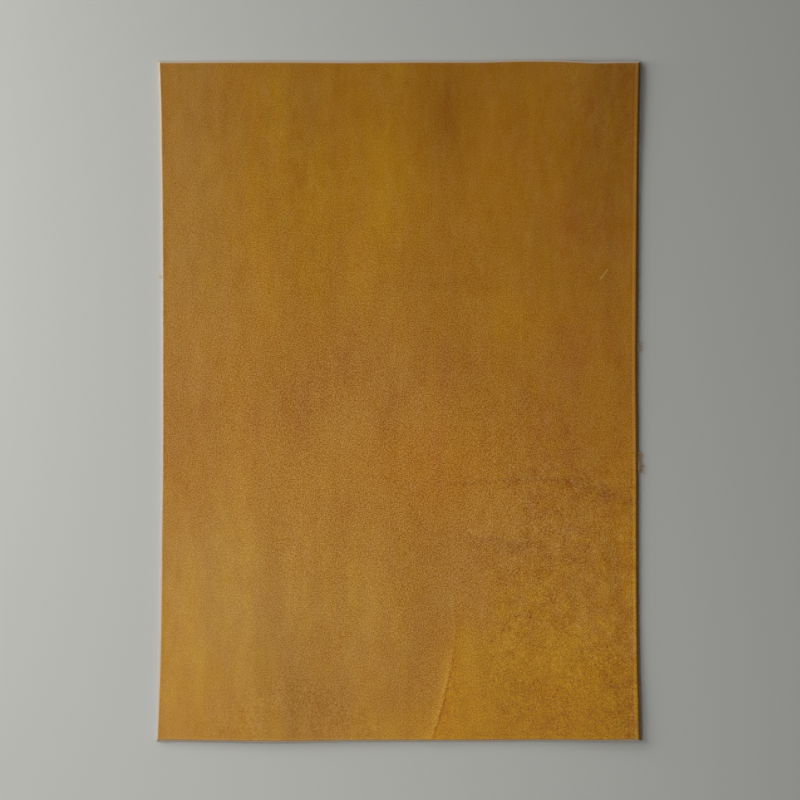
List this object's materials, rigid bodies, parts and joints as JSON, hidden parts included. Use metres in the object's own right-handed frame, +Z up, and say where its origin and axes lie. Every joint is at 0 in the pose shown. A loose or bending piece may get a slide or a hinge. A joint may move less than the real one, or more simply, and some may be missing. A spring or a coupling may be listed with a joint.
{
  "type": "leather panel",
  "caption": "Flat rectangular panel of ochre full-grain leather, lying grain side up, with slightly bowed long sides, a short crease and natural mottling.",
  "frame": {"origin": "middle of the flat underside, on the surface that the panel lies on", "axes": "+X across the width, +Y along the length, +Z up out of the grain side"},
  "size_m": [0.2124, 0.299, 0.0026],
  "materials": {
    "leather": "dull waxy grain side with fine pores, paler suede-like flesh side and cut edge"
  },
  "bodies": {
    "root": {"leather_panel": "leather"}
  },
  "joints": []
}
